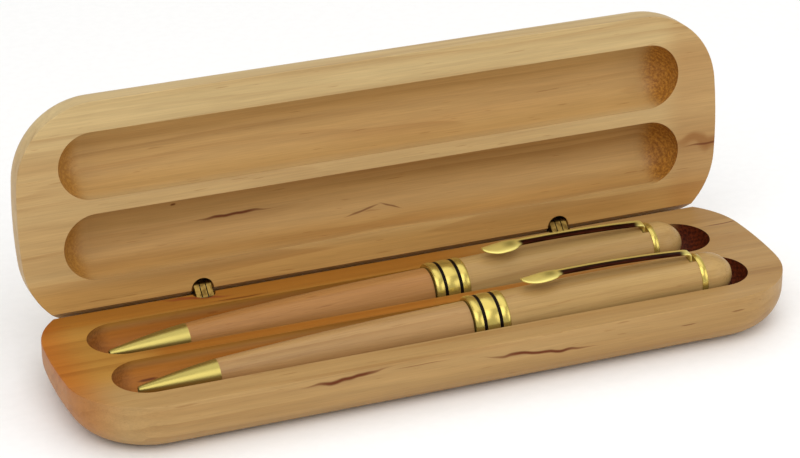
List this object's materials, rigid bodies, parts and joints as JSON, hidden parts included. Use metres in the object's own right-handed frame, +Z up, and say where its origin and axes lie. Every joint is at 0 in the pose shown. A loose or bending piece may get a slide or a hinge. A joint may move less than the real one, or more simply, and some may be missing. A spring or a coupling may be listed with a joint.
{
  "type": "hinged pen box",
  "caption": "Shallow wooden box in two hinged halves, each with two long round-bottomed troughs, shown open with a twist pen in each lower trough.",
  "frame": {"origin": "middle of the base's flat underside", "axes": "+X along the box to the right, -Y towards its open front, +Z up"},
  "size_m": [0.1724, 0.0646, 0.0619],
  "materials": {
    "box_maple": "satin",
    "pink_maple": "satin",
    "pale_maple": "satin",
    "gold_plate": "polished",
    "black_enamel": "gloss",
    "hinge_brass": "satin",
    "pin_steel": "satin",
    "bare_brass": "satin",
    "refill_plastic": "satin"
  },
  "bodies": {
    "base": {"base_tray": "box_maple", "left_hinge_base_barrel": "hinge_brass", "left_hinge_base_pin": "pin_steel", "right_hinge_base_barrel": "hinge_brass", "right_hinge_base_pin": "pin_steel"},
    "left_leaves": {"left_hinge_leaf_a": "hinge_brass", "left_hinge_leaf_b": "hinge_brass", "left_hinge_leaf_c": "hinge_brass"},
    "right_leaves": {"right_hinge_leaf_a": "hinge_brass", "right_hinge_leaf_b": "hinge_brass", "right_hinge_leaf_c": "hinge_brass"},
    "lid": {"lid": "box_maple", "left_hinge_lid_barrel": "hinge_brass", "left_hinge_lid_pin": "pin_steel", "right_hinge_lid_barrel": "hinge_brass", "right_hinge_lid_pin": "pin_steel"},
    "front_pen": {"front_pen_band": "gold_plate", "front_pen_black_ring_a": "black_enamel", "front_pen_black_ring_b": "black_enamel", "front_pen_upper_barrel": "pale_maple", "front_pen_upper_tube": "bare_brass", "front_pen_turning_sleeve": "bare_brass", "front_pen_end_ring": "gold_plate", "front_pen_finial": "pale_maple", "front_pen_finial_stud": "bare_brass"},
    "front_pen_clip_arm": {"front_pen_clip": "gold_plate"},
    "front_pen_front_half": {"front_pen_nib": "gold_plate", "front_pen_lower_barrel": "pink_maple", "front_pen_lower_tube": "bare_brass", "front_pen_twist_mechanism": "bare_brass"},
    "front_pen_refill": {"front_pen_ball_point": "bare_brass", "front_pen_refill_tube": "refill_plastic"},
    "rear_pen": {"rear_pen_band": "gold_plate", "rear_pen_black_ring_a": "black_enamel", "rear_pen_black_ring_b": "black_enamel", "rear_pen_upper_barrel": "pale_maple", "rear_pen_upper_tube": "bare_brass", "rear_pen_turning_sleeve": "bare_brass", "rear_pen_end_ring": "gold_plate", "rear_pen_finial": "pale_maple", "rear_pen_finial_stud": "bare_brass"},
    "rear_pen_clip_arm": {"rear_pen_clip": "gold_plate"},
    "rear_pen_front_half": {"rear_pen_nib": "gold_plate", "rear_pen_lower_barrel": "pink_maple", "rear_pen_lower_tube": "bare_brass", "rear_pen_twist_mechanism": "bare_brass"},
    "rear_pen_refill": {"rear_pen_ball_point": "bare_brass", "rear_pen_refill_tube": "refill_plastic"}
  },
  "joints": [
    {"name": "left_hinge_fold", "type": "hinge", "parent": "base", "child": "left_leaves", "pos_m": [-0.0445, 0.02177, 0.0113], "axis": [-1, 0, 0], "range_deg": [-46.84, 0]},
    {"name": "lid_fold", "type": "hinge", "parent": "left_leaves", "child": "lid", "pos_m": [-0.0445, 0.02367, 0.01308], "axis": [-1, 0, 0], "range_deg": [-46.84, 0]},
    {"name": "right_hinge_fold", "type": "hinge", "parent": "base", "child": "right_leaves", "pos_m": [0.0445, 0.02177, 0.0113], "axis": [-1, 0, 0], "range_deg": [-46.84, 0]},
    {"name": "front_pen_lift", "type": "slide", "parent": "base", "child": "front_pen", "axis": [0, 0, 1], "range_m": [0, 0.06]},
    {"name": "front_pen_twist", "type": "hinge", "parent": "front_pen", "child": "front_pen_front_half", "pos_m": [0.00643, -0.01171, 0.01052], "axis": [0.999, -0.029, 0.0347], "range_deg": [0, 180]},
    {"name": "front_pen_refill_slide", "type": "slide", "parent": "front_pen_front_half", "child": "front_pen_refill", "axis": [-0.999, 0.029, -0.0347], "range_m": [0, 0.005]},
    {"name": "front_pen_clip_flex", "type": "hinge", "parent": "front_pen", "child": "front_pen_clip_arm", "pos_m": [0.06098, -0.01366, 0.01766], "axis": [0.0265, 0.9972, 0.0697], "range_deg": [0, 4], "stiffness_Nm_per_rad": 0.3, "springref_deg": -1.72},
    {"name": "rear_pen_lift", "type": "slide", "parent": "base", "child": "rear_pen", "axis": [0, 0, 1], "range_m": [0, 0.06]},
    {"name": "rear_pen_twist", "type": "hinge", "parent": "rear_pen", "child": "rear_pen_front_half", "pos_m": [0.00455, 0.00727, 0.01064], "axis": [0.9997, 0.0216, 0.0098], "range_deg": [0, 180]},
    {"name": "rear_pen_refill_slide", "type": "slide", "parent": "rear_pen_front_half", "child": "rear_pen_refill", "axis": [-0.9997, -0.0216, -0.0098], "range_m": [0, 0.005]},
    {"name": "rear_pen_clip_flex", "type": "hinge", "parent": "rear_pen", "child": "rear_pen_clip_arm", "pos_m": [0.0593, 0.00746, 0.01632], "axis": [-0.0231, 0.9814, 0.1908], "range_deg": [0, 4], "stiffness_Nm_per_rad": 0.3, "springref_deg": -1.72}
  ],
  "couplings": [
    {"joint": "right_hinge_fold", "follows": "left_hinge_fold", "ratio": 1},
    {"joint": "front_pen_refill_slide", "follows": "front_pen_twist", "m_per_rad": 0.0015915},
    {"joint": "rear_pen_refill_slide", "follows": "rear_pen_twist", "m_per_rad": 0.0015915}
  ]
}
